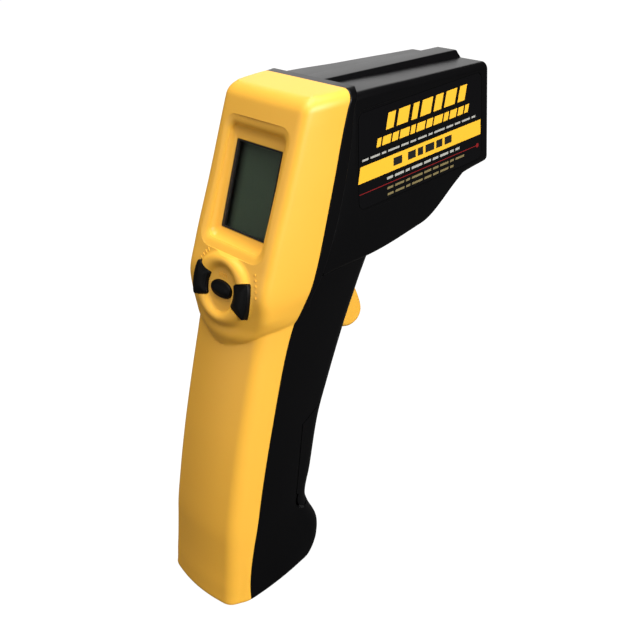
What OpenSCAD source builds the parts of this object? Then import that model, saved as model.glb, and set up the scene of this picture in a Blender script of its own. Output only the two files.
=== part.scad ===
// Pistol-grip infrared thermometer with a laser pointer, a display and a battery door.
// +Z is up, +Y is the way the sensor looks, the display faces -Y, and X = 0 is the middle plane.
// The origin is the centre of the tripod socket's mouth, in the plane of the base.

/* [Overall] */
// Height from the base to the top of the head
height = 200; // [196:1:240]
// Length from the back of the base to the nose
length = 160.5; // [156:0.1:193]
// Width over the head
width = 54.8; // [54:0.2:66]
// Thickness of the plastic shells
wall = 2.2; // [1.8:0.1:2.4]

/* [Display and keys] */
// Width of the opening over the liquid crystal display
screen_w = 27.4; // [24:0.2:28]
// Height of the opening over the liquid crystal display
screen_h = 34.5; // [28:0.5:36]
// Inner radius of the curved keys
key_inner_r = 8.8; // [8.6:0.1:9.4]
// Outer radius of the curved keys
key_outer_r = 17.6; // [14:0.1:17.8]
// Angle that each curved key spans
key_span = 56; // [44:1:64]
// Travel of each key
key_travel = 0.8; // [0.4:0.1:0.9]

/* [Trigger] */
// Width of the trigger
trigger_w = 14; // [10:0.5:15]
// Radius of the trigger's pivot pin
pivot_r = 1.5; // [1:0.1:1.8]
// Running clearance between a pin and the bore that turns on it
running_gap = 0.06; // [0.03:0.01:0.1]

/* [Battery bay] */
// Width of the 9 V block battery
battery_w = 26.5; // [22:0.1:26.5]
// Depth of the 9 V block battery
battery_d = 17.5; // [15.5:0.1:17.5]
// Height of the 9 V block battery without its studs
battery_h = 44.5; // [40:0.5:46]
// Gap round the battery door
door_gap = 0.4; // [0.3:0.05:0.6]
// Radius of the battery door's hinge pins
hinge_r = 1; // [0.8:0.1:1.2]

/* [Tripod socket] */
// Wall radius of the 1/4-20 tripod thread
socket_r = 2.55; // [2.4:0.05:3.1]
// Depth of the tripod thread
socket_depth = 8; // [5:0.5:8]

/* [Hidden] */

$fn = 40;
EPS = 0.01;

// Scale of the outline points, which are drawn for a body 200 high, 160.5 long and 54.8 wide.
sz = height/200;
sy = length/160.5;
sx = width/54.8;

// Levels seen from above: height, back line, bow of the back, half width and corner radius at
// the back, place and half width of the widest point, front line, half width and radius there.
grip_levels = [
    [0, -24, 1.7, 21.6, 5.5, -14, 23.4, 23.5, 20, 7],
    [3, -23.4, 1.7, 21.6, 6, -13, 23.4, 27, 20.2, 8],
    [8, -22.6, 1.7, 21.6, 6, -12, 23.3, 30, 20.4, 9],
    [14, -21.4, 1.7, 21.6, 6, -11, 23.2, 30.8, 20.5, 9],
    [26, -19.4, 1.7, 21.5, 6, -7.5, 23, 26.8, 20.5, 9],
    [31, -18.6, 1.7, 21.5, 6, -6.5, 23, 25.7, 20.5, 9],
    [45, -15.3, 1.7, 21.4, 6, -2, 22.9, 29.9, 20.5, 9],
    [67, -9.2, 1.7, 21.4, 6, 4, 22.8, 36.5, 20.5, 9],
    [83, -4.1, 1.7, 21.5, 6, 9, 22.8, 43.7, 20.6, 9],
    [104, 3, 1.7, 21.6, 6, 17, 23, 54, 20.8, 9],
    [118, 8, 1.7, 21.8, 6, 23, 23.6, 61.4, 21.2, 9],
    [133, 15, 1.5, 22, 6, 30, 24.2, 69, 22, 8]
];
head_levels = [
    [108.5, 3.2, 1.2, 8, 3, 20, 10, 40, 10, 3],
    [113, 4.2, 2.4, 17, 4, 20, 19, 45, 19, 3],
    [118, 6, 3, 22.5, 4.5, 22, 24.2, 50, 20, 3],
    [123, 6.8, 2.4, 24.6, 4, 25, 25.6, 55, 22, 3],
    [130, 7.3, 1.2, 25.2, 3.5, 29.5, 26.9, 60, 25, 2],
    [141.5, 11.4, 0.5, 25.2, 3.5, 33, 27.3, 60, 26, 2],
    [166, 22.2, 0.4, 25.2, 3.5, 43, 27.4, 60, 27, 2],
    [190, 32.3, 0.4, 25.2, 3.5, 52, 27.3, 62, 27, 2],
    [197.5, 34.4, 0.4, 24.4, 3.5, 52, 26.2, 62, 26, 2],
    [200, 36.4, 0.4, 21.5, 3, 52, 23, 62, 23, 2]
];
// Levels along the barrel: place, underside, top, top and bottom edge radii.
barrel_levels = [
    [35, 132.4, 135, 1, 1],
    [44, 132.4, 152, 3, 2],
    [54, 132.4, 182, 3, 2],
    [57.4, 132.4, 197.7, 3, 2],
    [92.4, 134.7, 195.5, 3, 3],
    [115.9, 146.6, 193.9, 3, 3],
    [119.9, 148.6, 193.6, 3, 3],
    [134.8, 149.8, 192.6, 3, 3]
];
barrel_half_w = 26.2;
barrel_taper = (26.2 - 22.5)/(134.8 - 57.4);
// Side view of the line where the rear cover ends, from the base to the top of the head.
parting = [[-14, -1], [-14, 0], [-4.4, 39.5], [8.2, 79.8], [19.2, 110.6], [26.2, 124.7],
    [30.3, 132.6], [42.7, 166], [52.5, 193.2], [54.6, 197.4], [56, 201]];
// Side view of the line where the raised black rim beside the cover ends.
rim = [[29, 105], [29, 124], [34.9, 133.6], [43.6, 151.2], [49.5, 167.4], [53.7, 181.7],
    [55.8, 192.4], [58.6, 198], [59.6, 202]];

// Display frame: origin at the middle of the screen opening, third axis out of the face.
screen_pos = [24.8*sy, 164.6*sz];
screen_tilt = atan2(12.4*sy, 32.1*sz);
face_depth = 2.7;
pad_back = -2;
pad_w = 44;
pad_h = 50;
recess_grow_x = 9.6;
recess_grow_y = 12;
window_t = 1.5;
lcd_t = 2.8;
lcd_front = pad_back - window_t + 0.4;
board_top = -8;
board_t = 1.6;
board_half_w = 19;
board_low = -52;
board_high = 30;
post_r = 3.2;
post_places = [[-15, 27], [15, 27], [-12, -48], [12, -48]];

// Key frame: origin on the middle of the ring round the keys.
key_pos = [6.1*sy, 130*sz];
key_tilt = 17;
key_gap = 0.3;
key_top = 1.3;
ring_back = -2.6;
flange_top = ring_back - 0.3;
flange_low = flange_top - 1.2;
key_low = -8.4;
mat_top = key_low - key_travel - 0.1;
mat_t = 2.8;
centre_key_l = 12.6;
centre_key_w = 6.4;
ring_r = 18.8;

// Battery frame: origin under the middle of the battery, third axis up the grip.
battery_pos = [8.5*sy, 22];
battery_tilt = 16.5;
tray_gap = 0.3;
tray_t = 1.6;
tray_half_w = battery_w/2 + tray_gap + tray_t;
hinge_pos = [21.5*sy, 33];
hinge_knuckle_r = 2.4;
hinge_disc_r = 4.6;
hinge_x = tray_half_w + 0.3;
hinge_pin_reach = 2;
hinge_ear_r = 1.8;
hinge_lip = 1.9;
toe_scoop = 1.1;
door_side = [[16.6, 37], [23, 69], [37, 74.6], [60, 84], [60, 33], [21.5, 33]];

// Trigger, seen from the side.
trigger_pos = [50*sy, 126*sz];
trigger_low = [[-6, -17], [-6.2, -8], [-4.4, 0], [0, 4], [5, 3.4], [11, -1.5], [16.5, -10],
    [20.3, -19], [22.2, -25.5], [22.2, -29.5], [19.6, -33], [14.8, -34.4], [10, -33],
    [5, -29], [-2, -24]];
pivot_half_l = 14;
pivot_boss_r = 4;
slot_gap = 0.5;
rib_y = 30*sy;
rib_t = 1.6;
spring_z = trigger_pos[1] - 20.5;
spring_r = 2.6;
spring_wire = 0.35;
spring_turns = 5;
spring_front = trigger_pos[0] - 6.4;

// Optics along the barrel.
nose_y = 134.8*sy;
optic_z = 165.5*sz;
laser_z = 184.5*sz;
bezel_t = 2.8;
bezel_y = nose_y - 4.2;
tube_r = 12.2;
tube_len = 34;
lens_r = 10;
lens_t = 2;
can_r = 4.6;
laser_r = 4;
laser_len = 20;

// Screws through the body halves: place in the side view and half length.
screw_places = [[100*sy, 147.3*sz, 17], [65*sy, 185*sz, 20], [19*sy, 97*sz, 16], [18.5*sy, 10, 15]];
screw_r = 1.4;
screw_head_r = 2.7;
boss_r = 3.5;
insert_across = 9;
insert_h = 9.5;
socket_boss_r = 8;

// Labels on the tapering sides of the barrel.
label_t = 0.3;
label_side = [[57.5, 155], [60, 152.5], [127, 152.5], [130.5, 156], [130.5, 186.5], [127.5, 190],
    [61, 190.5], [58, 187.5]];
label_taper = atan2(barrel_taper*sx, sy);
label_proud = 0.05;

// Hand-placed routes of the internal leads.
battery_route = [[22, 76], [17, 83], [10.5, 92], [9.2, 102], [12.5, 109], [14.2, 112.9]];
laser_route = [[108, 184.5], [98, 184], [84, 180], [64, 172], [50, 168], [45, 166]];

// Points of an arc, from angle a to angle b, in n steps.
function arc(x, y, r, a, b, n) =
    [for (i = [0:n]) [x + r*cos(a + (b - a)*i/n), y + r*sin(a + (b - a)*i/n)]];
function mirrored(points) =
    [for (i = [len(points) - 1:-1:0]) [-points[i][0], points[i][1]]];
function scaled(points) = [for (p = points) [p[0]*sy, p[1]*sz]];

// Right half of a level seen from above, drawn in by the inset.
function level_half(l, inset) = concat(
    [[0, l[1]*sy - l[2] + inset]],
    arc(l[3]*sx - l[4], l[1]*sy + l[4], l[4] - min(inset, l[4] - 0.4), -90, -8, 4),
    [[l[6]*sx - inset, l[5]*sy]],
    arc(l[8]*sx - l[9], l[7]*sy - l[9], l[9] - min(inset, l[9] - 0.4), 0, 90, 4)
);

// One thin slice of a body, at its height.
module level_slice(l, inset, z) {
    half = level_half(l, inset);
    translate([0, 0, z]) linear_extrude(EPS) polygon(concat(half, mirrored(half)));
}

// A body through all its levels, kept between two heights.
module level_body(levels, inset, low, high) {
    for (i = [0:len(levels) - 2]) {
        hull() {
            level_slice(levels[i], inset, max(low, min(high, levels[i][0]*sz)));
            level_slice(levels[i + 1], inset, max(low, min(high, levels[i + 1][0]*sz)) - EPS);
        }
    }
}

// Half width of the barrel, which tapers in front of the rim.
function barrel_half(y) = (barrel_half_w - max(0, y - 57.4)*barrel_taper)*sx;

module barrel_slice(l, inset, y) {
    top_r = max(0.4, l[3] - inset);
    low_r = max(0.4, l[4] - inset);
    half_w = barrel_half(l[0]) - inset;
    high = l[2]*sz - inset;
    low = l[1]*sz + inset;
    half = concat(
        arc(half_w - low_r, low + low_r, low_r, -90, 0, 3),
        arc(half_w - top_r, high - top_r, top_r, 0, 90, 3)
    );
    translate([0, y, 0]) rotate([90, 0, 0]) linear_extrude(EPS) polygon(concat(half, mirrored(half)));
}

// The barrel from one of its levels to the nose, with its ends moved back and forward.
module barrel_body(inset, first, back, front) {
    last = len(barrel_levels) - 1;
    for (i = [first:last - 1]) {
        hull() {
            barrel_slice(barrel_levels[i], inset, barrel_levels[i][0]*sy + EPS - (i < 4 ? back : 0));
            barrel_slice(barrel_levels[i + 1], inset, barrel_levels[i + 1][0]*sy
                - (i + 1 < 4 ? back : 0) + (i + 1 == last ? front : 0));
        }
    }
}

// The laser ridge on top of the barrel.
module ridge() {
    hull() {
        for (end = [[58, 199.6], [134.8, 195.4]]) {
            translate([0, end[0]*sy, 0]) rotate([90, 0, 0]) linear_extrude(EPS) polygon([
                [-7.8, end[1]*sz - 6], [7.8, end[1]*sz - 6], [7.6, end[1]*sz - 3],
                [5.6, end[1]*sz], [-5.6, end[1]*sz], [-7.6, end[1]*sz - 3]]);
        }
    }
}

// A side-view outline as a block across the whole width.
module side_block(points, half_w) {
    translate([-half_w, 0, 0]) rotate([90, 0, 90]) linear_extrude(2*half_w) polygon(points);
}
module behind_parting() {
    side_block(concat([[-60, height + 20], [-60, -1]], scaled(parting), [[56*sy, height + 20]]), 60);
}
module behind_rim() {
    side_block(concat([[-60, height + 5], [-60, 105*sz]], scaled(rim)), 60);
}

module outer_skin() {
    level_body(grip_levels, 0, 0, 133*sz);
    intersection() {
        level_body(head_levels, 0, 108*sz, height);
        behind_rim();
    }
    barrel_body(0, 0, 0, 0);
    ridge();
}
module inner_skin() {
    level_body(grip_levels, wall, wall, 131*sz);
    intersection() {
        level_body(head_levels, wall, 108*sz, height - wall);
        translate([0, -wall, 0]) behind_rim();
    }
    barrel_body(wall, 1, 5, 5);
}

// Places of the three tilted frames.
module at_screen() {
    translate([0, screen_pos[0], screen_pos[1]]) rotate([90 - screen_tilt, 0, 0]) children();
}
module at_keys() {
    translate([0, key_pos[0], key_pos[1]]) rotate([90 - key_tilt, 0, 0]) children();
}
module at_battery() {
    translate([0, battery_pos[0], battery_pos[1]]) rotate([-battery_tilt, 0, 0]) children();
}
module cross_rod(pos, r, x0, x1) {
    translate([x0, pos[0], pos[1]]) rotate([0, 90, 0]) cylinder(r = r, h = x1 - x0);
}
module forward_rod(y0, z, r, len) {
    translate([0, y0, z]) rotate([-90, 0, 0]) cylinder(r = r, h = len);
}
module centred_block(size) {
    translate([-size[0]/2, -size[1]/2, 0]) cube(size);
}

// Outlines of the keys, grown by a gap.
module curved_key_shape(side, gap) {
    spread = key_span/2 + gap/key_inner_r*57.3;
    mid = side > 0 ? 0 : 180;
    polygon(concat(
        arc(0, 0, key_outer_r + gap, mid - spread + 3, mid + spread - 3, 10),
        arc(0, 0, key_inner_r - gap, mid + spread, mid - spread, 8)
    ));
}
module centre_key_shape(gap) {
    reach = (centre_key_l - centre_key_w)/2;
    square([2*reach, centre_key_w + 2*gap], center = true);
    for (side = [-1, 1]) translate([side*reach, 0]) circle(r = centre_key_w/2 + gap);
}

// Yellow cover with the display recess, the key ring and the board posts.
module rear_cover() {
    color("#f2b632") render() difference() {
        union() {
            intersection() {
                difference() {
                    outer_skin();
                    difference() {
                        inner_skin();
                        at_screen() translate([0, 0, pad_back]) centred_block([pad_w, pad_h, 8]);
                        at_keys() translate([0, 0, ring_back]) cylinder(r = ring_r + 1, h = 4);
                        at_screen() for (p = post_places) {
                            translate([p[0], p[1], board_top]) cylinder(r = post_r, h = 12);
                        }
                    }
                }
                behind_parting();
            }
            at_keys() rotate_extrude() translate([ring_r - 1.6, 0]) circle(r = 1, $fn = 12);
        }
        at_screen() {
            translate([0, 0, -5]) centred_block([screen_w, screen_h, 20]);
            hull() {
                centred_block([screen_w + 3, screen_h + 3, EPS]);
                translate([0, 0, face_depth + 0.4])
                    centred_block([screen_w + recess_grow_x, screen_h + recess_grow_y, 4]);
            }
            translate([0, 0, pad_back - 1]) centred_block([screen_w + 3.6, screen_h + 3.6, 1.8]);
            for (p = post_places) translate([p[0], p[1], board_top - 1]) cylinder(r = 1.15, h = 8);
        }
        at_keys() {
            for (side = [-1, 1]) {
                translate([0, 0, -6]) linear_extrude(16) curved_key_shape(side, key_gap);
            }
            translate([0, 0, -6]) linear_extrude(16) centre_key_shape(key_gap);
            translate([0, 0, ring_back - 8]) linear_extrude(8) {
                for (side = [-1, 1]) curved_key_shape(side, 1.3);
                centre_key_shape(1);
            }
            translate([0, 0, -0.4]) cylinder(r = key_inner_r - 0.9, h = 8);
        }
    }
}

// Side view of the door, grown by a gap, with the round part that turns past the toe.
module door_outline(gap, swing_gap) {
    moved = [for (p = door_side) [p[0]*sy, hinge_pos[1] + (p[1] - 33)*sz]];
    offset(delta = gap) polygon(moved);
    translate(hinge_pos) circle(r = hinge_disc_r + swing_gap);
}
module door_zone(gap, swing_gap, half_w) {
    translate([-half_w, 0, 0]) rotate([90, 0, 90]) linear_extrude(2*half_w)
        door_outline(gap, swing_gap);
}

// Both body halves together, before the split along the middle plane.
module body_whole() {
    difference() {
        union() {
            difference() {
                outer_skin();
                inner_skin();
            }
            intersection() {
                union() {
                    for (s = screw_places) cross_rod(s, boss_r, -40, 40);
                    for (side = [-1, 1]) {
                        cross_rod(trigger_pos, pivot_boss_r, side > 0 ? trigger_w/2 + 0.6 : -40,
                            side > 0 ? 40 : -trigger_w/2 - 0.6);
                    }
                    translate([-40, rib_y, 90*sz]) cube([80, rib_t, 30*sz]);
                    translate([-40, 4*sy, 0]) cube([80, 2, battery_pos[1] - 1.3]);
                    cylinder(r = socket_boss_r, h = insert_h + 2);
                    for (y = [103.5, 112.5]) translate([-15, y*sy, 130*sz]) cube([30, 2, 70*sz]);
                }
                outer_skin();
            }
        }
        behind_parting();
        door_zone(door_gap, toe_scoop, 60);
        forward_rod(90*sy, optic_z, tube_r + 0.3, 50*sy);
        forward_rod(90*sy, laser_z, laser_r + 0.1, 50*sy);
        translate([-trigger_w/2 - slot_gap, rib_y + 6, 93*sz])
            cube([trigger_w + 2*slot_gap, 60*sy, 33.6*sz]);
        cross_rod(trigger_pos, pivot_r + 0.04, -pivot_half_l - 0.2, pivot_half_l + 0.2);
        translate([0, 0, -1]) cylinder(r = insert_across/sqrt(3), h = insert_h + 1, $fn = 6);
        for (s = screw_places) {
            cross_rod(s, screw_r + 0.05, -60, s[2] + 1);
            cross_rod(s, screw_head_r + 0.2, -60, -s[2] + 2.2);
        }
        label_block(1, 1);
        label_block(-1, 1);
    }
}
module body_right() {
    color("#1b1c1e") render() intersection() {
        body_whole();
        translate([0, -60, -5]) cube([60, 260, height + 20]);
    }
}
module body_left() {
    color("#1b1c1e") render() intersection() {
        body_whole();
        translate([-60, -60, -5]) cube([60, 260, height + 20]);
    }
}

// Thin label plate set into the side of the barrel.
module label_block(side, grow) {
    translate([side*(barrel_half(57.4) + label_proud), 57.4*sy, 0]) rotate([0, 0, side*label_taper])
        translate([side > 0 ? -label_t : -grow, -57.4*sy, 0])
            rotate([90, 0, 90]) linear_extrude(label_t + grow) polygon(scaled(label_side));
}
module label_right() {
    color("#0e0f10") label_block(1, 0);
}
module label_left() {
    color("#0e0f10") label_block(-1, 0);
}

// Front plate with the sensor's flared opening and the laser's hole.
module nose_bezel() {
    half_w = 22.5*sx - wall - 0.4;
    low = 149.8*sz + wall + 0.4;
    high = 192.6*sz - wall - 0.4;
    r = 1.6;
    color("#17181a") difference() {
        translate([0, bezel_y + bezel_t, 0]) rotate([90, 0, 0]) linear_extrude(bezel_t) union() {
            translate([-half_w + r, low]) square([2*half_w - 2*r, high - low]);
            translate([-half_w, low + r]) square([2*half_w, high - low - 2*r]);
            for (x = [-half_w + r, half_w - r]) {
                for (z = [low + r, high - r]) translate([x, z]) circle(r = r);
            }
        }
        translate([0, bezel_y - 0.1, optic_z]) rotate([-90, 0, 0])
            cylinder(r1 = lens_r - 0.4, r2 = lens_r + 1.6, h = bezel_t + 0.2);
        forward_rod(bezel_y - 1, laser_z, 2.4, 10);
        forward_rod(bezel_y - 1, laser_z, 3.1, 2.6);
    }
}

// Hinged battery door, which is the lower front of the grip.
module battery_door() {
    knuckle_out = 19*sx;
    color("#1b1c1e") difference() {
        intersection() {
            level_body([for (i = [4:8]) grip_levels[i]], 0, 26*sz, 83*sz);
            door_zone(0, 0, 40);
        }
        difference() {
            level_body([for (i = [5:8]) grip_levels[i]], wall, 20, 90*sz);
            for (side = [-1, 1]) {
                cross_rod(hinge_pos, hinge_knuckle_r, side > 0 ? hinge_x : -knuckle_out,
                    side > 0 ? knuckle_out : -hinge_x);
            }
        }
        // Room for the battery, the tray's ears and the swing past them.
        cross_rod(hinge_pos, hinge_disc_r - 1.8, -hinge_x, hinge_x);
        translate([-hinge_x, 0, hinge_pos[1] - 10]) cube([2*hinge_x, hinge_pos[0], 40]);
        translate([-hinge_x, hinge_pos[0], hinge_pos[1] - 12]) cube([2*hinge_x, 20, 12 - hinge_lip]);
        for (side = [-1, 1]) {
            cross_rod(hinge_pos, hinge_r + running_gap, side > 0 ? hinge_x - 1 : -hinge_x - 2.6,
                side > 0 ? hinge_x + 2.6 : -hinge_x + 1);
        }
    }
}
module hinge_pin(side) {
    inner = tray_half_w - tray_t;
    outer = tray_half_w + hinge_pin_reach;
    color("#b9bcc0") cross_rod(hinge_pos, hinge_r, side > 0 ? inner : -outer, side > 0 ? outer : -inner);
}
module hinge_pin_right() {
    hinge_pin(1);
}
module hinge_pin_left() {
    hinge_pin(-1);
}

// Open-fronted tray that holds the battery and the door's hinge pins.
module battery_tray() {
    back = -battery_d/2 - tray_gap;
    color("#26272a") difference() {
        union() {
            at_battery() {
                translate([-tray_half_w, back - tray_t, -tray_gap - tray_t])
                    cube([2*tray_half_w, tray_t, battery_h]);
                translate([-tray_half_w, back - tray_t, -tray_gap - tray_t])
                    cube([2*tray_half_w, battery_d - 1, tray_t]);
                for (x = [-tray_half_w, tray_half_w - tray_t]) {
                    translate([x, back - tray_t, -tray_gap - tray_t]) cube([tray_t, battery_d + 1, battery_h]);
                }
            }
            for (x = [-tray_half_w, tray_half_w - tray_t]) cross_rod(hinge_pos, hinge_ear_r, x, x + tray_t);
        }
        cross_rod(hinge_pos, hinge_r + 0.01, -40, 40);
    }
}
module battery() {
    color("#3c3f44") at_battery() {
        translate([-battery_w/2, -battery_d/2, 0]) cube([battery_w, battery_d, battery_h]);
        for (x = [-6.4, 6.4]) translate([x, 0, battery_h]) cylinder(r = 2.9, h = 2);
    }
}
module battery_snap() {
    color("#141516") at_battery() difference() {
        translate([-12.5, -6, battery_h + 0.4]) cube([25, 12, 3.8]);
        for (x = [-6.4, 6.4]) translate([x, 0, battery_h]) cylinder(r = 3, h = 2.4);
    }
}

// Sweep of a round section along a route in a plane of constant X.
function unit(v) = v/norm(v);
function tangent(p, i) = unit(p[min(i + 1, len(p) - 1)] - p[max(i - 1, 0)]);
module tube(points, r, sides) {
    n = len(points);
    rings = [for (i = [0:n - 1])
        let(t = tangent(points, i), a = unit(cross(t, [1, 0.001, 0.002])), b = cross(t, a))
        for (k = [0:sides - 1]) points[i] + r*cos(360*k/sides)*a + r*sin(360*k/sides)*b];
    walls = [for (i = [0:n - 2]) for (k = [0:sides - 1])
        [i*sides + k, i*sides + (k + 1)%sides, (i + 1)*sides + (k + 1)%sides, (i + 1)*sides + k]];
    caps = [[for (k = [sides - 1:-1:0]) k], [for (k = [0:sides - 1]) (n - 1)*sides + k]];
    polyhedron(rings, concat(walls, caps));
}
module lead(x, route) {
    tube([for (p = route) [x, p[0]*sy, p[1]*sz]], 0.7, 8);
}
module battery_lead_plus() {
    color("#b3201d") lead(4, battery_route);
}
module battery_lead_minus() {
    color("#101012") lead(-4, battery_route);
}
module laser_lead() {
    color("#b3201d") lead(0, laser_route);
}

// Trigger that swings back into the grip.
module trigger() {
    color("#f2b632") difference() {
        union() {
            translate([-trigger_w/2, trigger_pos[0], trigger_pos[1]]) rotate([90, 0, 90])
                linear_extrude(trigger_w) polygon(trigger_low);
            cross_rod(trigger_pos, pivot_boss_r, -trigger_w/2, trigger_w/2);
        }
        cross_rod(trigger_pos, pivot_r + running_gap, -trigger_w, trigger_w);
    }
}
module trigger_pin() {
    color("#b9bcc0") cross_rod(trigger_pos, pivot_r, -pivot_half_l, pivot_half_l);
}
module trigger_spring() {
    back = rib_y + rib_t + spring_wire;
    reach = spring_front - spring_wire - back;
    steps = spring_turns*11;
    color("#9a9ea3") tube([for (i = [0:steps])
        let(a = 360*spring_turns*i/steps)
        [spring_r*cos(a), back + reach*i/steps, spring_z + spring_r*sin(a)]], spring_wire, 6);
}
module trigger_switch() {
    front = rib_y + rib_t;
    color("#2b2c2f") {
        translate([-3, front, trigger_pos[1] - 15]) cube([6, 6, 6]);
        forward_rod(front + 6, trigger_pos[1] - 12, 1.4, trigger_pos[0] - 6.2 - 2.2 - front - 6);
    }
}

// Display stack and circuit board.
module display_window() {
    color([0.6, 0.66, 0.62, 0.6]) at_screen() translate([0, 0, pad_back - window_t + 0.6])
        centred_block([screen_w + 3, screen_h + 3, window_t]);
}
module lcd_panel() {
    color("#5f6f62") at_screen() translate([0, 0, lcd_front - lcd_t])
        centred_block([screen_w + 8, screen_h + 9, lcd_t]);
}
module lcd_frame() {
    low = board_top + 0.02;
    color("#e9e9e6") at_screen() difference() {
        translate([0, 0, low]) centred_block([screen_w + 11.6, screen_h + 12.6, pad_back - 0.05 - low]);
        translate([0, 0, low + 1]) centred_block([screen_w + 8.4, screen_h + 9.4, 10]);
        for (side = [-1, 1]) {
            translate([0, side*(screen_h/2 + 2.6), low - 1]) centred_block([screen_w + 2, 2.4, 4]);
        }
    }
}
module contact_strip(side) {
    color("#c98fa0") at_screen() translate([0, side*(screen_h/2 + 2.6), board_top])
        centred_block([screen_w, 1.8, lcd_front - lcd_t - board_top]);
}
module contact_strip_top() {
    contact_strip(1);
}
module contact_strip_bottom() {
    contact_strip(-1);
}
module main_board() {
    color("#1f5a37") at_screen() difference() {
        translate([-board_half_w, board_low, board_top - board_t])
            cube([2*board_half_w, board_high - board_low, board_t]);
        for (p = post_places) translate([p[0], p[1], board_top - 5]) cylinder(r = 1.3, h = 10);
    }
}
module processor_chip() {
    color("#202124") at_screen() translate([0, 0, board_top - board_t - 2.2])
        centred_block([14, 14, 2.2]);
}
module buzzer() {
    color("#161719") at_screen() translate([-9, -30, board_top - board_t - 5]) cylinder(r = 6, h = 5);
}
module board_screw(i) {
    p = post_places[i];
    color("#b9bcc0") at_screen() translate([p[0], p[1], 0]) {
        translate([0, 0, board_top - board_t - 1.6]) cylinder(r = 2.2, h = 1.6);
        translate([0, 0, board_top - board_t]) cylinder(r = 1.1, h = 7);
    }
}
module board_screw_1() {
    board_screw(0);
}
module board_screw_2() {
    board_screw(1);
}
module board_screw_3() {
    board_screw(2);
}
module board_screw_4() {
    board_screw(3);
}

// Key caps, each a button with a retaining flange and a stem.
module curved_key(side) {
    color("#141516") at_keys() {
        translate([0, 0, flange_low]) linear_extrude(key_top - flange_low) curved_key_shape(side, 0);
        translate([0, 0, flange_low]) linear_extrude(flange_top - flange_low)
            curved_key_shape(side, 0.8);
        translate([side*13, 0, key_low]) centred_block([4, 6, flange_low - key_low]);
    }
}
module key_left() {
    curved_key(-1);
}
module key_right() {
    curved_key(1);
}
module key_centre() {
    color("#141516") at_keys() {
        translate([0, 0, flange_low]) linear_extrude(0.9 - flange_low) centre_key_shape(0);
        translate([0, 0, flange_low]) linear_extrude(flange_top - flange_low) centre_key_shape(0.6);
        translate([0, 0, key_low]) centred_block([4, 4, flange_low - key_low]);
    }
}
module key_mat() {
    color("#8d8f92") at_keys() translate([0, 0, mat_top - mat_t]) centred_block([35, 12, mat_t]);
}

// Optics.
module lens_tube() {
    back = bezel_y - tube_len;
    color("#26272a") difference() {
        forward_rod(back, optic_z, tube_r, tube_len);
        forward_rod(back - 1, optic_z, can_r + 0.1, 10);
        translate([0, back + 5, optic_z]) rotate([-90, 0, 0])
            cylinder(r1 = can_r + 0.1, r2 = lens_r - 1, h = tube_len - 14);
        forward_rod(bezel_y - 9.1, optic_z, lens_r + 0.05, 20);
    }
}
module ir_lens() {
    color("#d9dcd6") forward_rod(bezel_y - 9.1, optic_z, lens_r, lens_t);
}
module lens_retainer() {
    color("#17181a") difference() {
        forward_rod(bezel_y - 9.1 + lens_t, optic_z, lens_r, 1.6);
        forward_rod(bezel_y - 10, optic_z, lens_r - 1.3, 8);
    }
}
module thermopile() {
    color("#b9bcc0") forward_rod(bezel_y - tube_len - 1.2, optic_z, can_r, 5.5);
}
module sensor_board() {
    color("#1f5a37") translate([-13, bezel_y - tube_len - 1.2 - board_t, optic_z - 12])
        cube([26, board_t, 24]);
}
// Flat ribbon from the sensor board back to the main board.
module sensor_ribbon() {
    start = bezel_y - tube_len - 1.2 - board_t;
    color("#c9c9c6") translate([-8, 0, 0]) rotate([90, 0, 90]) linear_extrude(16) polygon([
        [start, optic_z - 6], [start - 8, optic_z - 7], [start - 28, optic_z - 14],
        [36*sy, 148.9*sz], [29.1*sy, 148.9*sz], [28.8*sy, 148.1*sz], [36*sy, 148.1*sz],
        [start - 28, optic_z - 14.8], [start - 8, optic_z - 7.8], [start, optic_z - 6.8]]);
}
module laser_module() {
    color("#b8923f") forward_rod(bezel_y - 2 - laser_len, laser_z, laser_r, laser_len);
}
module laser_window() {
    color([0.7, 0.8, 0.85, 0.5]) forward_rod(bezel_y + 0.4, laser_z, 3, 1.2);
}

// Threaded insert for a tripod.
module tripod_insert() {
    color("#b8923f") difference() {
        cylinder(r = (insert_across - 0.1)/sqrt(3), h = insert_h, $fn = 6);
        translate([0, 0, -1]) cylinder(r = socket_r, h = socket_depth + 1);
    }
}

// Screws that join the body halves, put in from the left.
module body_screw(i) {
    s = screw_places[i];
    color("#b9bcc0") {
        cross_rod(s, screw_r, -s[2] + 2, s[2]);
        cross_rod(s, screw_head_r, -s[2], -s[2] + 2.2);
    }
}
module screw_nose() {
    body_screw(0);
}
module screw_head() {
    body_screw(1);
}
module screw_grip() {
    body_screw(2);
}
module screw_foot() {
    body_screw(3);
}

rear_cover();
body_right();
body_left();
nose_bezel();
battery_door();
hinge_pin_right();
hinge_pin_left();
battery_tray();
battery();
battery_snap();
battery_lead_plus();
battery_lead_minus();
trigger();
trigger_pin();
trigger_spring();
trigger_switch();
display_window();
lcd_panel();
lcd_frame();
contact_strip_top();
contact_strip_bottom();
main_board();
processor_chip();
buzzer();
key_left();
key_right();
key_centre();
key_mat();
lens_tube();
ir_lens();
lens_retainer();
thermopile();
sensor_board();
sensor_ribbon();
laser_module();
laser_window();
laser_lead();
tripod_insert();
screw_nose();
screw_head();
screw_grip();
screw_foot();
board_screw_1();
board_screw_2();
board_screw_3();
board_screw_4();
label_right();
label_left();
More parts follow.
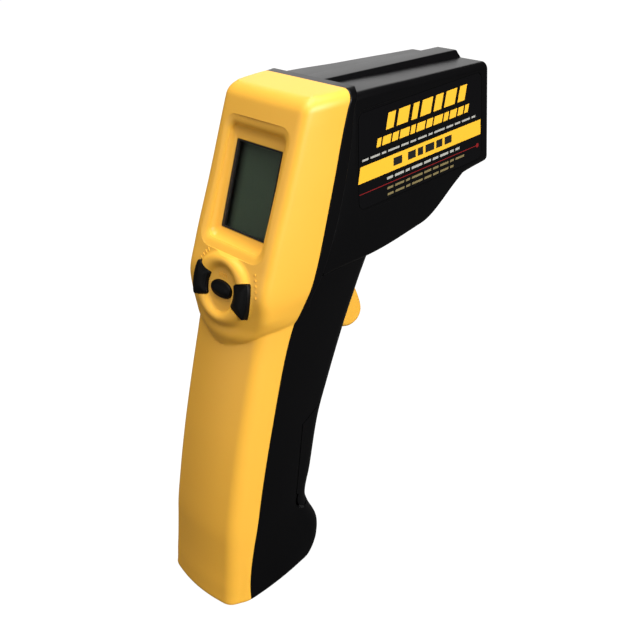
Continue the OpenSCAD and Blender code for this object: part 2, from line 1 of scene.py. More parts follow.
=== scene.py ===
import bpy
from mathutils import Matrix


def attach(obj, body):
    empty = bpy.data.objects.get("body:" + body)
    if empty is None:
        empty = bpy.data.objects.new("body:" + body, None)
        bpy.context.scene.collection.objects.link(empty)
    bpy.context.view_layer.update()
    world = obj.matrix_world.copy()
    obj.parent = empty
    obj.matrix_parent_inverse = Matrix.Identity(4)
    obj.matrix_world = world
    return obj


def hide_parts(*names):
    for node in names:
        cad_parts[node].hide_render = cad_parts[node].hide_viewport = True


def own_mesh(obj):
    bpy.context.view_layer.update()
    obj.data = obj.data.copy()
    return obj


bl_info = {
    "name": "Infrared thermometer looks",
    "version": (1, 0, 0),
    "blender": (4, 5, 0),
    "location": "View3D > Sidebar > Thermometer",
    "description": "Shells, keys, label, display and studio for a pistol-grip infrared thermometer",
    "category": "Object",
}

import math

import bmesh
import bpy
import numpy as np
from bpy.props import FloatProperty, FloatVectorProperty, PointerProperty
from mathutils import Matrix, Vector

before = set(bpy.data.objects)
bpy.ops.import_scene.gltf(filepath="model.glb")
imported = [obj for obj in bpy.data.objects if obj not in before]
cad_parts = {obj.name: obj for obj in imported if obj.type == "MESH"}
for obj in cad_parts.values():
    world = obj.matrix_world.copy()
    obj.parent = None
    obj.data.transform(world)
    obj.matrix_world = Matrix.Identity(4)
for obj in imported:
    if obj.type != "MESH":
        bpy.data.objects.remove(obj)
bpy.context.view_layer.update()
MM = 0.001
HEIGHT = 200
CROWN_R = 4.6

# Levels of the body seen from above, in millimetres: height, back line, bow of the back,
# half width and corner radius at the back, place and half width of the widest point,
# front line, half width and corner radius at the front.
GRIP = [
    (0, -24, 1.7, 21.6, 5.5, -14, 23.4, 23.5, 20, 7),
    (3, -23.4, 1.7, 21.6, 6, -13, 23.4, 27, 20.2, 8),
    (8, -22.6, 1.7, 21.6, 6, -12, 23.3, 30, 20.4, 9),
    (14, -21.4, 1.7, 21.6, 6, -11, 23.2, 30.8, 20.5, 9),
    (26, -19.4, 1.7, 21.5, 6, -7.5, 23, 26.8, 20.5, 9),
    (31, -18.6, 1.7, 21.5, 6, -6.5, 23, 25.7, 20.5, 9),
    (45, -15.3, 1.7, 21.4, 6, -2, 22.9, 29.9, 20.5, 9),
    (67, -9.2, 1.7, 21.4, 6, 4, 22.8, 36.5, 20.5, 9),
    (83, -4.1, 1.7, 21.5, 6, 9, 22.8, 43.7, 20.6, 9),
    (104, 3, 1.7, 21.6, 6, 17, 23, 54, 20.8, 9),
    (118, 8, 1.7, 21.8, 6, 23, 23.6, 61.4, 21.2, 9),
    (133, 15, 1.5, 22, 6, 30, 24.2, 69, 22, 8),
]
HEAD = [
    (106, 7, 1.2, 4, 3, 20, 6, 40, 6, 3),
    (108.5, 3.4, 1.2, 8, 3, 20, 10, 40, 10, 3),
    (113, 4.2, 2.4, 17, 4, 20, 19, 45, 19, 3),
    (118, 6, 3, 22.5, 4.5, 22, 24.2, 50, 20, 3),
    (123, 6.8, 2.4, 24.6, 4, 25, 25.6, 55, 22, 3),
    (130, 7.3, 1.2, 25.2, 3.5, 29.5, 26.9, 60, 25, 2),
    (141.5, 11.4, 0.5, 25.2, 3.5, 33, 27.3, 60, 26, 2),
    (166, 22.2, 0.4, 25.2, 3.5, 43, 27.4, 60, 27, 2),
    (190, 32.3, 0.4, 25.2, 3.5, 52, 27.3, 62, 27, 2),
    (200, 36.5, 0.4, 25, 3.5, 52, 27.1, 62, 26.8, 2),
]
# Levels along the barrel: place, underside, top, top and bottom edge radii, half width.
BARREL = [
    (35, 132.4, 135, 1, 1, 26.2),
    (44, 132.4, 152, 3, 2, 26.2),
    (54, 132.4, 182, 3, 2, 26.2),
    (57.4, 132.4, 197.7, 3, 2, 26.2),
    (92.4, 134.7, 195.5, 3, 3, 24.53),
    (115.9, 146.6, 193.9, 3, 3, 23.4),
    (119.9, 148.6, 193.6, 3, 3, 23.21),
    (134.8, 149.8, 192.6, 3, 3, 22.5),
]
# Side view of the line where the cover ends and of the line where the raised rim ends.
PARTING = [(-14, -1), (-14, 0), (-4.4, 39.5), (8.2, 79.8), (19.2, 110.6), (26.2, 124.7),
    (30.3, 132.6), (42.7, 166), (52.5, 193.2), (54.6, 197.4), (55.8, 200.5)]
RIM = [(29, 104), (29, 124), (34.9, 133.6), (43.6, 151.2), (49.5, 167.4), (53.7, 181.7),
    (55.8, 192.4), (58.4, 197.6), (59.6, 201)]
DOOR_SIDE = [(16.6, 37), (23, 69), (37, 74.6), (60, 84), (60, 33), (21.5, 33)]
HINGE = (21.5, 33)
HINGE_DISC = 4.6
TRIGGER_PIVOT = (50, 126)
TRIGGER_SIDE = [(-6, -17), (-6.2, -8), (-4.4, 0), (0, 4), (5, 3.4), (11, -1.5), (16.5, -10),
    (20.3, -19), (22.2, -25.5), (22.2, -29.5), (19.6, -33), (14.8, -34.4), (10, -33),
    (5, -29), (-2, -24)]
SCREEN = (24.8, 164.6, math.atan2(12.4, 32.1))
KEYS = (6.1, 130, math.radians(17))
WALL = 2.2
NOSE_Y = 134.8
BEZEL_Y = 130.6
OPTIC_Z = 165.5
LASER_Z = 184.5


def settings():
    """The sizes and colours held by the scene."""
    return bpy.context.scene.thermometer


def eased(table, at):
    """Row of a table of levels at a height, along monotone cubic curves."""
    table = np.array(table, float)
    xs = table[:, 0]
    x = min(max(at, xs[0]), xs[-1])
    i = min(max(int(np.searchsorted(xs, x)) - 1, 0), len(xs) - 2)
    slopes = np.diff(table, axis=0)/np.diff(xs)[:, None]

    def lean(k):
        if k in (0, len(xs) - 1):
            return slopes[min(k, len(xs) - 2)]
        a, b = slopes[k - 1], slopes[k]
        return np.where(a*b > 0, 2*a*b/np.where(a + b == 0, 1, a + b), 0)

    h = xs[i + 1] - xs[i]
    t = (x - xs[i])/h
    return ((2*t**3 - 3*t**2 + 1)*table[i] + (t**3 - 2*t**2 + t)*h*lean(i)
        + (3*t**2 - 2*t**3)*table[i + 1] + (t**3 - t**2)*h*lean(i + 1))


def line_y(line, z):
    """Place along Y of a side-view line at a height."""
    return float(eased([(p[1], p[0]) for p in line], z)[1])


def resampled(points, count=None, step=0.4):
    """The same open line with evenly spaced points."""
    points = np.asarray(points, float)
    run = np.concatenate([[0], np.cumsum(np.linalg.norm(np.diff(points, axis=0), axis=1))])
    s = np.linspace(0, run[-1], count or int(run[-1]/step) + 2)
    return np.stack([np.interp(s, run, points[:, k]) for k in range(points.shape[1])], 1)


def softened(points, soft=1.2, step=0.4):
    """A half outline, mirrored at both ends, with its corners softened."""
    p = resampled(points, step=step)
    width = max(1, int(3*soft/step))
    flip = np.array([-1, 1])
    padded = np.vstack([p[width:0:-1]*flip, p, p[-2:-width - 2:-1]*flip])
    kernel = np.exp(-0.5*(np.arange(-width, width + 1)*step/soft)**2)
    kernel /= kernel.sum()
    out = np.stack([np.convolve(padded[:, k], kernel, "valid") for k in (0, 1)], 1)
    out[0, 0] = out[-1, 0] = 0
    return out


def arc(cx, cy, r, a, b, n):
    """Points of an arc from angle a to angle b, in degrees."""
    return [(cx + r*math.cos(math.radians(a + (b - a)*i/n)),
        cy + r*math.sin(math.radians(a + (b - a)*i/n))) for i in range(n + 1)]


def half_outline(level, inset=0.0):
    """Right half of a level seen from above, from the middle of the back to the front."""
    _, yb, bow, hb, rb, yw, hw, yf, hf, rf = level
    flat = hb - rb
    points = [(flat*k/8, yb - bow*(1 - (k/8)**2) + inset) for k in range(8)]
    points += arc(flat, yb + rb, max(rb - inset, 0.6), -90, -4, 8)
    start = np.array(points[-1])
    for k in range(1, 9):
        t = k/8
        points.append((hw - inset - (hw - inset - start[0])*(1 - t)**2,
            start[1] + (yw - start[1])*t))
    first = (hf - inset, yf - rf)
    for k in range(1, 9):
        t = k/9
        points.append((hw - inset - (hw - inset - first[0])*t**2, yw + (first[1] - yw)*t))
    points += arc(hf - rf, yf - rf, max(rf - inset, 0.6), 0, 90, 8)
    points.append((0, yf - inset))
    return softened(points)


def polar(points, centre, angles):
    """Distances from a centre to a half outline, along rays at the given angles."""
    d = np.asarray(points) - (0, centre)
    a = np.arctan2(d[:, 1], np.maximum(d[:, 0], 0))
    order = np.argsort(a)
    return np.interp(angles, a[order], np.hypot(d[:, 0], d[:, 1])[order])


def skin_outline(z, inset=0.0, with_head=True):
    """Half outline of the grip and the head together, blended where they meet."""
    if not with_head or z < HEAD[0][0]:
        return half_outline(eased(GRIP, z), inset)
    if z > GRIP[-1][0]:
        return half_outline(eased(HEAD, z), inset)
    angles = np.radians(np.concatenate([np.linspace(-90, -60, 90), np.linspace(-59.8, 89.9, 220)]))
    centre = 30.0
    grip = polar(half_outline(eased(GRIP, z), inset), centre, angles)
    head = polar(half_outline(eased(HEAD, z), inset), centre, angles)
    k = 1.0
    share = np.clip(0.5 + 0.5*(head - grip)/k, 0, 1)
    r = grip*(1 - share) + head*share + k*share*(1 - share)*0.5
    out = np.stack([r*np.cos(angles), centre + r*np.sin(angles)], 1)
    out[0, 0] = 0
    return out


def along(line, y_from, y_to, fractions, curl=(True, True)):
    """Points of a half outline between two places on Y, with its cut ends curled in."""
    run = np.concatenate([[0], np.cumsum(np.linalg.norm(np.diff(line, axis=0), axis=1))])
    flank = int(np.argmax(line[:, 0]))

    def place(y):
        lo = int(np.argmin(line[:max(flank, 2), 1]))
        rising = np.maximum.accumulate(line[lo:, 1] + np.arange(len(line) - lo)*1e-7)
        return float(np.interp(y, rising, run[lo:]))

    a = 0 if y_from is None else place(y_from)
    b = run[-1] if y_to is None else place(y_to)
    s = a + (b - a)*np.asarray(fractions)
    p = np.stack([np.interp(s, run, line[:, k]) for k in (0, 1)], 1)
    t = np.gradient(p, axis=0)
    n = np.stack([-t[:, 1], t[:, 0]], 1)/np.maximum(np.linalg.norm(t, axis=1), 1e-9)[:, None]
    for near, on in ((s - a, curl[0] and y_from is not None),
            (b - s, curl[1] and y_to is not None)):
        if on:
            x = np.clip(1 - near/0.5, 0, 1)
            p = p + n*(0.5*(1 - np.sqrt(1 - (x*0.93)**2)))[:, None]
    return p


def ring_of(half, z, cap=5):
    """Closed ring from the right half of a line, its mirror image and a straight way across."""
    left = half[::-1]*(-1, 1)
    if abs(half[0, 0]) < 1e-6:
        line = np.vstack([left, half[1:]])
        back = [half[-1]*(1 - k/cap) + left[0]*k/cap for k in range(1, cap)]
    elif abs(half[-1, 0]) < 1e-6:
        line = np.vstack([half, left[1:]])
        back = [left[-1]*(1 - k/cap) + half[0]*k/cap for k in range(1, cap)]
    else:
        front = [half[-1]*(1 - k/cap) + left[0]*k/cap for k in range(1, cap)]
        back = [left[-1]*(1 - k/cap) + half[0]*k/cap for k in range(1, cap)]
        line = np.vstack([half, front, left])
    ring = np.vstack([line, back])
    return np.column_stack([ring, np.full(len(ring), z)])


def solid(name, points, faces, finish):
    """A closed mesh in millimetres made into an object, its faces pointing outwards."""
    mesh = bpy.data.meshes.new(name)
    mesh.from_pydata([tuple(np.asarray(p)*MM) for p in points], [], faces)
    mesh.materials.append(finish)
    shape = bmesh.new()
    shape.from_mesh(mesh)
    bmesh.ops.recalc_face_normals(shape, faces=shape.faces)
    if shape.calc_volume(signed=True) < 0:
        bmesh.ops.reverse_faces(shape, faces=shape.faces)
    shape.to_mesh(mesh)
    shape.free()
    made = bpy.data.objects.new(name, mesh)
    bpy.context.scene.collection.objects.link(made)
    return made


def loft(name, rings, finish):
    """A closed solid through rings of points, with a face across each end."""
    n = len(rings[0])
    faces = []
    for i in range(len(rings) - 1):
        for k in range(n):
            j = (k + 1) % n
            faces.append((i*n + k, i*n + j, (i + 1)*n + j, (i + 1)*n + k))
    faces.append(tuple(range(n - 1, -1, -1)))
    faces.append(tuple((len(rings) - 1)*n + k for k in range(n)))
    return solid(name, np.vstack(rings), faces, finish)


def prism(name, outline, low, high, place, finish):
    """An outline raised from one height to another, put in place by a function."""
    rings = [np.array([place(u, v, w) for u, v in outline]) for w in (low, high)]
    return loft(name, rings, finish)


def tilted(pose):
    """Function from a tilted frame's own axes to the object's."""
    y0, z0, t = pose
    return lambda u, v, w: (u, y0 + v*math.sin(t) - w*math.cos(t),
        z0 + v*math.cos(t) + w*math.sin(t))


def sideways(u, v, w):
    """Side view outline (u along Y, v along Z) raised along X."""
    return (w, u, v)


def upright(u, v, w):
    """Front view outline (u along X, v along Z) raised along Y."""
    return (u, w, v)


def only(made):
    """Makes one object the selected and active one."""
    bpy.ops.object.select_all(action="DESELECT")
    made.select_set(True)
    bpy.context.view_layer.objects.active = made


def apply_modifier(made, kind, **values):
    """Adds a modifier with its values and applies it."""
    step = made.modifiers.new(kind.title(), kind)
    for key, value in values.items():
        setattr(step, key, value)
    only(made)
    bpy.ops.object.modifier_apply(modifier=step.name)


def combine(made, others, operation="DIFFERENCE", keep=False):
    """Cuts, joins or overlaps one solid with others."""
    for other in others:
        apply_modifier(made, "BOOLEAN", operation=operation, solver="MANIFOLD", object=other)
        if not keep:
            bpy.data.objects.remove(other)
    if not made.data.polygons:
        raise RuntimeError(f"{made.name} has no faces left")
    return made


def box(x0, x1, y0, y1, z0, z1, finish, name="block"):
    """An upright block between its limits."""
    outline = [(x0, y0), (x1, y0), (x1, y1), (x0, y1)]
    return prism(name, outline, z0, z1, lambda u, v, w: (u, v, w), finish)


def rod(y, z, r, x0, x1, finish, sides=40):
    """A rod along X."""
    return prism("rod", arc(y, z, r, 0, 360*(sides - 1)/sides, sides - 1), x0, x1, sideways, finish)


def forward_rod(y0, y1, z, r0, r1, finish, sides=64):
    """A rod or cone along Y."""
    last = 360*(sides - 1)/sides
    rings = [np.array([upright(u, v, y) for u, v in arc(0, z, r, 0, last, sides - 1)])
        for y, r in ((y0, r0), (y1, r1))]
    return loft("rod", rings, finish)


def smooth(made, angle=32):
    """Soft shading with sharp creases."""
    only(made)
    bpy.ops.object.shade_smooth_by_angle(angle=math.radians(angle))
    return made


def settle(made, body, finish_slot, *nodes):
    """Finishes a piece: shading, body and the CAD nodes it stands for; the material slot argument
    finish_slot is not used.
    """
    smooth(made)
    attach(made, body)
    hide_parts(*nodes)
    return made


# Materials.

def node_of(tree, kind, **values):
    """Adds a node and sets its values."""
    made = tree.nodes.new(kind)
    for key, value in values.items():
        setattr(made, key, value)
    return made


def grain_group():
    """Fine moulded grain with slow patches of wear, as a height and a roughness."""
    found = bpy.data.node_groups.get("Moulded grain")
    if found:
        return found
    group = bpy.data.node_groups.new("Moulded grain", "ShaderNodeTree")
    face = group.interface
    for name, value in (("Grain size", 2200.0), ("Patch size", 40.0), ("Roughness", 0.4),
            ("Spread", 0.06)):
        socket = face.new_socket(name=name, in_out="INPUT", socket_type="NodeSocketFloat")
        socket.default_value = value
    for name in ("Height", "Roughness"):
        face.new_socket(name=name, in_out="OUTPUT", socket_type="NodeSocketFloat")
    enter = node_of(group, "NodeGroupInput")
    leave = node_of(group, "NodeGroupOutput")
    where = node_of(group, "ShaderNodeTexCoord")
    fine = node_of(group, "ShaderNodeTexNoise")
    fine.inputs["Detail"].default_value = 2
    patch = node_of(group, "ShaderNodeTexNoise")
    patch.inputs["Detail"].default_value = 4
    centre = node_of(group, "ShaderNodeMath", operation="SUBTRACT")
    centre.inputs[1].default_value = 0.5
    spread = node_of(group, "ShaderNodeMath", operation="MULTIPLY_ADD")
    link = group.links.new
    link(where.outputs["Object"], fine.inputs["Vector"])
    link(where.outputs["Object"], patch.inputs["Vector"])
    link(enter.outputs["Grain size"], fine.inputs["Scale"])
    link(enter.outputs["Patch size"], patch.inputs["Scale"])
    link(patch.outputs["Fac"], centre.inputs[0])
    link(centre.outputs[0], spread.inputs[0])
    link(enter.outputs["Spread"], spread.inputs[1])
    link(enter.outputs["Roughness"], spread.inputs[2])
    link(fine.outputs["Fac"], leave.inputs["Height"])
    link(spread.outputs[0], leave.inputs["Roughness"])
    return group


def finish_of(name, colour, rough=0.4, spread=0.06, metal=0.0, bump=0.02, grain=2200.0,
        subsurface=0.0, specular=0.5):
    """A plastic, rubber or metal finish with its own grain."""
    made = bpy.data.materials.get(name)
    if made:
        return made
    made = bpy.data.materials.new(name)
    made.use_nodes = True
    tree = made.node_tree
    shader = tree.nodes["Principled BSDF"]
    shader.inputs["Base Color"].default_value = (*colour, 1)
    shader.inputs["Metallic"].default_value = metal
    shader.inputs["Specular IOR Level"].default_value = specular
    if subsurface:
        shader.inputs["Subsurface Weight"].default_value = subsurface
        shader.inputs["Subsurface Radius"].default_value = (0.9, 0.5, 0.15)
        shader.inputs["Subsurface Scale"].default_value = 0.002
    group = node_of(tree, "ShaderNodeGroup", node_tree=grain_group())
    group.inputs["Grain size"].default_value = grain
    group.inputs["Roughness"].default_value = rough
    group.inputs["Spread"].default_value = spread
    raised = node_of(tree, "ShaderNodeBump")
    raised.inputs["Strength"].default_value = bump*10
    raised.inputs["Distance"].default_value = 0.00004
    tree.links.new(group.outputs["Height"], raised.inputs["Height"])
    tree.links.new(raised.outputs["Normal"], shader.inputs["Normal"])
    tree.links.new(group.outputs["Roughness"], shader.inputs["Roughness"])
    return made


def clear_finish(name, colour, rough=0.04):
    """Clear plastic or glass."""
    made = bpy.data.materials.get(name)
    if made:
        return made
    made = bpy.data.materials.new(name)
    made.use_nodes = True
    shader = made.node_tree.nodes["Principled BSDF"]
    shader.inputs["Base Color"].default_value = (*colour, 1)
    shader.inputs["Roughness"].default_value = rough
    shader.inputs["Transmission Weight"].default_value = 1.0
    shader.inputs["IOR"].default_value = 1.49
    return made


def yellow():
    return finish_of("Yellow moulded plastic", tuple(settings().cover_colour), 0.42, 0.05,
        bump=0.012, subsurface=0.06)


def black():
    return finish_of("Black moulded plastic", tuple(settings().body_colour), 0.3, 0.08, bump=0.02,
        specular=0.25)


def rubber():
    return finish_of("Black key rubber", (0.0025, 0.0025, 0.0028), 0.45, 0.05, bump=0.015,
        specular=0.15)


def panel_finish():
    """Grey-green display panel with painted shade, darker towards the edge that the frame shades.
    """
    made = finish_of("Display panel with painted shade", (0.045, 0.062, 0.042), 0.3, 0.02, bump=0.002)
    tree = made.node_tree
    where = node_of(tree, "ShaderNodeTexCoord")
    parts = node_of(tree, "ShaderNodeSeparateXYZ")
    reach = node_of(tree, "ShaderNodeMapRange", interpolation_type="SMOOTHSTEP")
    for key, value in (("From Min", -0.0136), ("From Max", -0.0066), ("To Min", 0.0),
            ("To Max", 1.0)):
        reach.inputs[key].default_value = value
    # Painted shade: near-black blending into grey-green across the left edge of the panel.
    painted_shade_mix = node_of(tree, "ShaderNodeMix", data_type="RGBA")
    painted_shade_mix.inputs["A"].default_value = (0.004, 0.005, 0.004, 1)
    painted_shade_mix.inputs["B"].default_value = (0.15, 0.21, 0.14, 1)
    tree.links.new(where.outputs["Object"], parts.inputs[0])
    tree.links.new(parts.outputs["X"], reach.inputs["Value"])
    tree.links.new(reach.outputs["Result"], painted_shade_mix.inputs["Factor"])
    tree.links.new(painted_shade_mix.outputs["Result"], tree.nodes["Principled BSDF"].inputs["Base Color"])
    return made


def paper():
    """White studio paper that stays white in view and gives the object only a little light back."""
    made = bpy.data.materials.new("Studio paper")
    made.use_nodes = True
    tree = made.node_tree
    tree.nodes.clear()
    end = node_of(tree, "ShaderNodeOutputMaterial")
    seen = node_of(tree, "ShaderNodeMixShader")
    own = node_of(tree, "ShaderNodeBsdfDiffuse")
    own.inputs["Color"].default_value = (0.05, 0.05, 0.05, 1)
    shaded = node_of(tree, "ShaderNodeBsdfDiffuse")
    shaded.inputs["Color"].default_value = (0.8, 0.8, 0.8, 1)
    view = node_of(tree, "ShaderNodeMixShader")
    view.inputs[0].default_value = 0.9
    glow = node_of(tree, "ShaderNodeEmission")
    glow.inputs["Strength"].default_value = 1.08
    path = node_of(tree, "ShaderNodeLightPath")
    tree.links.new(path.outputs["Is Camera Ray"], seen.inputs[0])
    tree.links.new(shaded.outputs[0], view.inputs[1])
    tree.links.new(glow.outputs[0], view.inputs[2])
    tree.links.new(own.outputs[0], seen.inputs[1])
    tree.links.new(view.outputs[0], seen.inputs[2])
    tree.links.new(seen.outputs[0], end.inputs["Surface"])
    return made


def steel():
    return finish_of("Plated steel", (0.62, 0.62, 0.64), 0.28, 0.1, metal=1.0, grain=900)


def brass():
    return finish_of("Machined brass", (0.72, 0.5, 0.2), 0.3, 0.1, metal=1.0, grain=900)


# Shells.

COVER_ROWS = np.concatenate([np.arange(2, 100, 2.0), np.arange(100, 195.2, 0.6)])


def edge_inset(z, low, high, r_low, r_high):
    """How far a rounded bottom or top edge draws the outline in at a height."""
    if z < low + r_low:
        return r_low - math.sqrt(max(r_low**2 - (low + r_low - z)**2, 0))
    if z > high - r_high:
        return r_high - math.sqrt(max(r_high**2 - (z - high + r_high)**2, 0))
    return 0.0


def key_relief(points):
    """Raises the rounded band and sinks the disc round the keys."""
    y0, z0, t = KEYS
    u = points[:, 0]
    v = (points[:, 1] - y0)*math.sin(t) + (points[:, 2] - z0)*math.cos(t)
    w = -(points[:, 1] - y0)*math.cos(t) + (points[:, 2] - z0)*math.sin(t)
    r = np.maximum(np.hypot(u, v), 1e-6)
    outer = 1/np.sqrt((u/r/17.4)**2 + (v/r/13.6)**2)
    inner = 9.3
    band = (r - inner)/(outer - inner)
    profile = np.interp(band,
        [-1, -0.22, -0.14, -0.06, 0.02, 0.12, 0.26, 0.42, 0.58, 0.72, 0.84, 0.93, 1, 1.1],
        [-0.6, -0.6, -0.52, -0.3, 0.15, 0.62, 1.0, 1.15, 1.08, 0.85, 0.5, 0.12, -0.2, -0.5])
    x = np.clip((band - 0.86)/0.4, 0, 1)
    far = x*x*(3 - 2*x)
    near_face = (w > -9) & (band < 1.26)
    lift = np.where(near_face, (1 - far)*(profile - w), 0)
    return points + np.column_stack([0*lift, -lift*math.cos(t), lift*math.sin(t)])


def cover_solid():
    """The outer shape of the rear cover, as one closed solid."""
    fractions = np.concatenate([np.linspace(0, 0.74, 76, endpoint=False),
        np.linspace(0.74, 0.985, 13), [0.9915, 0.996, 0.999, 1]])
    rings = []
    low = [0, 0.15, 0.5, 1.1]
    top = HEIGHT - CROWN_R*(1 - np.sin(np.radians(np.linspace(0, 86, 12))))
    for z in list(low) + list(COVER_ROWS) + list(top):
        inset = edge_inset(z, 0, HEIGHT, 1.2, CROWN_R)
        half = along(skin_outline(z, inset), None, line_y(PARTING, z), fractions)
        rings.append(ring_of(half, z))
    crown = rings[-1]
    middle = np.array([0, crown[:, 1].max(), HEIGHT])
    for k in (0.12, 0.3, 0.55, 0.8, 0.97):
        ring = crown + (middle - crown)*k
        ring[:, 1] = crown[:, 1] + (middle[1] - crown[:, 1])*k
        rings.append(ring)
    sole = rings[0]
    centre = np.array([0, sole[:, 1].max(), 0.0])
    for k in (0.2, 0.6, 0.95):
        rings.insert(0, sole + (centre - sole)*k)
    rings = [key_relief(r) for r in rings]
    return loft("rear_cover_look", rings, yellow())


def hollow(with_head, low, high, name="hollow"):
    """The coarse inner volume of the grip and head."""
    finish = yellow()
    rings = []
    for z in np.linspace(low, high, 60):
        half = resampled(skin_outline(z, WALL, with_head), count=50)
        rings.append(ring_of(half, z, cap=2)[:98])
    return loft(name, rings, finish)


def screen_cutter(finish):
    """Opening for the display with its dished, round-cornered surround."""
    wide, tall = 27.4/2, 34.5/2
    place = tilted(SCREEN)
    outer_w, outer_top, outer_low = 18.0, 24.0, 23.0
    rings = []

    def rounded(hw, top, low, r, sunk, share=0.0, off=0.0):
        points = (arc(hw - r, top - r, r, 0, 90, 7) + arc(-hw + r, top - r, r, 90, 180, 7)
            + arc(-hw + r, -low + r, r, 180, 270, 7) + arc(hw - r, -low + r, r, 270, 360, 7))
        rings.append(np.array([place(u, v, sunk*(1 - share) + (3.0 - 0.04*v + off)*share)
            for u, v in points]))

    rounded(wide, tall, tall, 0.15, -6)
    rounded(wide, tall, tall, 0.15, -0.9)
    rounded(wide + 0.25, tall + 0.25, tall + 0.25, 0.4, -0.6)
    for t in np.linspace(0.06, 1, 12):
        reach, rise = math.sin(t*math.pi/2), 1 - math.cos(t*math.pi/2)
        rounded(wide + 0.4 + (outer_w - wide - 1.6)*reach,
            tall + 0.4 + (outer_top - tall - 1.6)*reach,
            tall + 0.4 + (outer_low - tall - 1.6)*reach,
            0.5 + 2.8*reach, -0.6, rise*0.99 + 0.01, -1.0)
    for out, off in ((-0.8, -0.62), (-0.3, -0.35), (0.3, -0.14), (1.0, 0.02), (2.2, 0.3), (4, 4)):
        rounded(outer_w + out, outer_top + out, outer_low + out, 4 + out, 0, 1, off)
    return loft("screen_cutter", rings, finish)


def curved_key(side, grow):
    """Outline of one curved key, grown or drawn in."""
    r0, r1 = 8.8 - grow, 17.6 + grow
    mid = -2 if side > 0 else 178
    spread_in = 30 + math.degrees(grow/8.8)
    spread_out = 24.5 + math.degrees(grow/17.6)
    line = np.array(arc(0, 0, r1, mid - spread_out, mid + spread_out, 36)
        + arc(0, 0, r0, mid + spread_in, mid - spread_in, 28))
    line = resampled(np.vstack([line, line[:1]]), count=97)[:-1]
    for _ in range(5):
        line = 0.5*line + 0.25*(np.roll(line, 1, 0) + np.roll(line, -1, 0))
    return [tuple(q) for q in line]


def middle_key(grow):
    """Outline of the small key in the middle."""
    out = []
    for k in range(48):
        a = 2*math.pi*k/48
        c, d = math.cos(a), math.sin(a)
        out.append(((6.3 + grow)*math.copysign(abs(c)**0.9, c),
            (3.25 + grow)*math.copysign(abs(d)**0.9, d)))
    return out


def black_front():
    """The grip in front of the cover, as one closed solid."""
    fractions = np.concatenate([[0, 0.002, 0.005, 0.01], np.linspace(0.02, 1, 60)])
    rings = []
    for z in [0, 0.15, 0.5, 1.1] + list(np.arange(2.0, 140.1, 1.5)):
        inset = edge_inset(z, 0, 400, 1.2, 1)
        start = line_y(PARTING, z) + 0.02
        half = along(skin_outline(min(z, 133), inset, False), start, None, fractions, (True, False))
        rings.append(ring_of(half, z))
    return loft("grip_front", rings, black())


def rim_solid():
    """The raised rim beside the cover."""
    fractions = np.concatenate([[0, 0.04, 0.1, 0.2], np.linspace(0.3, 0.8, 6),
        [0.88, 0.94, 0.98, 1]])
    rings = []
    top = HEIGHT - CROWN_R*(1 - np.sin(np.radians(np.linspace(0, 88, 12))))
    for z in list(np.arange(122, 195.2, 0.8)) + list(top):
        inset = edge_inset(z, 0, HEIGHT, 1, CROWN_R)
        start, stop = line_y(PARTING, z) + 0.02, line_y(RIM, z)
        if stop < start + 0.8:
            stop = start + 0.8
        half = along(skin_outline(z, inset), start, stop, fractions)
        rings.append(ring_of(half, z))
    return loft("rim", rings, black())


def barrel_ring(y, inset):
    """Section of the barrel at a place along Y."""
    _, low, high, top_r, low_r, half_w = eased(BARREL, y)
    hw, lo, hi = half_w - inset, low + inset, high - inset
    tr, lr = max(top_r - inset, 0.5), max(low_r - inset, 0.5)
    points = (arc(hw - lr, lo + lr, lr, -90, 0, 8) + arc(hw - tr, hi - tr, tr, 0, 90, 8)
        + arc(-hw + tr, hi - tr, tr, 90, 180, 8) + arc(-hw + lr, lo + lr, lr, 180, 270, 8))
    return np.array([upright(u, v, y) for u, v in points])


def barrel(inset, first, last, rounding):
    """The barrel between two places, its front edge rounded."""
    rings = [barrel_ring(y, inset) for y in np.arange(first, last - rounding, 1.0)]
    for a in np.radians(np.linspace(0, 90, 8)) if rounding else []:
        ring = barrel_ring(last - rounding, inset + rounding*(1 - math.cos(a)))
        ring[:, 1] = last - rounding + rounding*math.sin(a)
        rings.append(ring)
    return loft("barrel", rings, black())


def ridge():
    """The laser ridge on top of the barrel."""
    rings = []
    for y in list(np.arange(57.5, 134, 1.5)) + [134.2, 134.6, 134.8]:
        top = 199.6 + (195.4 - 199.6)*(y - 58)/76.8
        draw = 0.6 - math.sqrt(max(0.36 - max(y - 134.2, 0)**2, 0)) if y > 134.2 else 0
        r = 1.1
        points = [(-8, top - 6), (8, top - 6), (7.7, top - 3.2)]
        points += arc(5.9 - r, top - r - draw, r, 18, 90, 6)
        points += arc(-5.9 + r, top - r - draw, r, 90, 162, 6) + [(-7.7, top - 3.2)]
        rings.append(np.array([upright(u, v, y) for u, v in points]))
    return loft("ridge", rings, black())


def label_spot(side, y, z, proud):
    """A place on the tapering side of the barrel."""
    return (side*(26.25 - 0.0478*(y - 57.4) + proud), y, z)


def label_edge(grow):
    """Outline of a label with rounded corners, in the side view."""
    points = []
    corners = ((127.4, 155.8, -90), (127.4, 186.6, 0), (61.2, 187.0, 90), (59.2, 155.8, 180))
    for y, z, a in corners:
        points += arc(y, z, 3.1 + grow, a, a + 90, 8)
    return points


def door_prism(grow, swing, half_w, finish):
    """Block that holds the battery door, seen from the side."""
    shape = prism("door_zone", grown(DOOR_SIDE, grow), -half_w, half_w, sideways, finish)
    disc = rod(*HINGE, HINGE_DISC + swing, -half_w - 0.01, half_w + 0.01, finish, 72)
    return combine(shape, [disc], "UNION")


